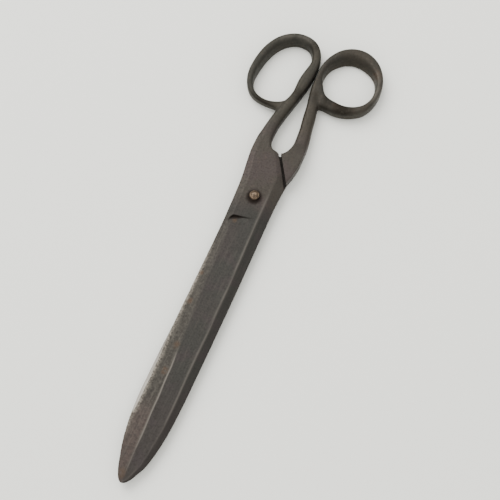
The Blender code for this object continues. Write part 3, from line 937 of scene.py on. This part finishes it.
def add_stage():
    shape = bmesh.new()
    bmesh.ops.create_grid(shape, x_segments=2, y_segments=2, size=FLOOR_HALF_SIZE)
    mesh = bpy.data.meshes.new("floor")
    shape.to_mesh(mesh)
    shape.free()
    floor = add_object("floor", mesh)
    mesh.materials.append(plain("floor_paper", rgb(247, 248, 242), 0.9))
    world = bpy.data.worlds.new("studio")
    world.use_nodes = True
    background = world.node_tree.nodes["Background"]
    background.inputs["Color"].default_value = (1, 0.995, 0.97, 1)
    background.inputs["Strength"].default_value = WORLD_STRENGTH
    bpy.context.scene.world = world
    add_light("key", KEY_PLACE, KEY_TARGET, KEY_SIZE, KEY_POWER, (1, 0.985, 0.96))


# Rust spots: (x, y, radius, amount).
UPPER_SPOTS = [(-9.5, -58, 1.6, 0.8), (-8.3, -77, 1.8, 0.8), (-4, -105, 2.2, 0.7), (-4, -122, 2.2, 0.8),
               (-4.6, -19.4, 1.6, 0.8), (-1, -186, 3, 0.6)]
LOWER_SPOTS = [(24, 79, 4, 0.7), (38, 108, 4, 0.6)]
# Painted shade on the bows: darker brown patches, in the same form.
UPPER_BROWN = [(-22, 63, 9, 0.8), (-3.5, 75, 4, 0.5), (-6, 112, 4, 0.5)]
LOWER_BROWN = [(27, 77, 8, 0.9), (17, 78, 5, 0.6), (7, 78, 4, 0.4)]
# Lighter places on the bows' tops, rubbed by the hand and brightened as a painted highlight, in the same
# form.
UPPER_WORN_AND_SHEEN = [(-14, 115, 6, 0.22), (-26, 111, 5, 0.2)]
LOWER_WORN_AND_SHEEN = [(43, 95, 6, 0.35), (40, 106, 5, 0.3)]


# Profiles about the pivot: (radius, height).
NUT_PROFILE = [(2.25, 10.45), (2.45, 10.4), (2.7, 10.27), (2.95, 10.05), (3.15, 9.75), (3.32, 9.4),
               (3.44, 9.05), (3.3, 8.87), (2.3, 8.87)]
BOLT_PROFILE = [(0, 10.78), (0.7, 10.74), (1.3, 10.62), (1.75, 10.4), (2.1, 10.2), (2.19, 9.9),
                (2.19, 0.92), (2.6, 0.9), (5.2, 0.9), (5.42, 0.78), (5.48, 0.6), (5.48, 0.25),
                (5.3, 0.06), (5.1, 0.0), (0, 0.0)]
WASHER_PROFILE = [(2.35, 1.53), (6.0, 1.53), (6.2, 1.47), (6.28, 1.38), (6.28, 1.15), (6.2, 1.05),
                  (6.0, 1.01), (2.35, 1.01)]
# Below this height (mm) the nut's sides are darkened: oil and dust with painted shade.
NUT_DIRT_AND_SHADE_TOP = 10.2


def build_halves():
    upper = shears_half("upper_half", 1, UPPER_BLADE, UPPER_BOW, UPPER_TAIL, UPPER_SEED,
                        UPPER_SPOTS, UPPER_BROWN, UPPER_WORN_AND_SHEEN)
    stand_for(upper, "finger_half", "finger_side",
              patina_steel("upper_patina", 0.0, MEET_Z + FACE_GAP, rgb(49, 46, 39), rgb(44, 43, 38)))
    lower = shears_half("lower_half", -1, LOWER_BLADE, LOWER_BOW, LOWER_TAIL, LOWER_SEED,
                        LOWER_SPOTS, LOWER_BROWN, LOWER_WORN_AND_SHEEN)
    stand_for(lower, "thumb_half", "thumb_side",
              patina_steel("lower_patina", 50.0, MEET_Z - FACE_GAP, rgb(50, 46, 39), rgb(44, 42, 37)))


def build_pivot():
    nut = turned_piece("bolt_nut", NUT_PROFILE, 0.09, 4.0)
    stand_for(nut, "pivot_nut", "finger_side",
              bolt_steel("nut_patina", rgb(122, 104, 85), rgb(76, 63, 49), 0.7, 3, NUT_DIRT_AND_SHADE_TOP))
    shaft = turned_piece("bolt_shaft", BOLT_PROFILE, 0.004, 7.0)
    stand_for(shaft, "pivot_bolt", "finger_side",
              bolt_steel("bolt_patina", rgb(118, 100, 82), rgb(70, 59, 47), 0.7, 8))
    washer = turned_piece("bolt_washer", WASHER_PROFILE, 0.01, 12.0)
    stand_for(washer, "pivot_washer", "finger_side",
              bolt_steel("washer_patina", rgb(104, 94, 82), rgb(80, 70, 60), 0.75, 15))


add_camera()
add_stage()
build_halves()
build_pivot()
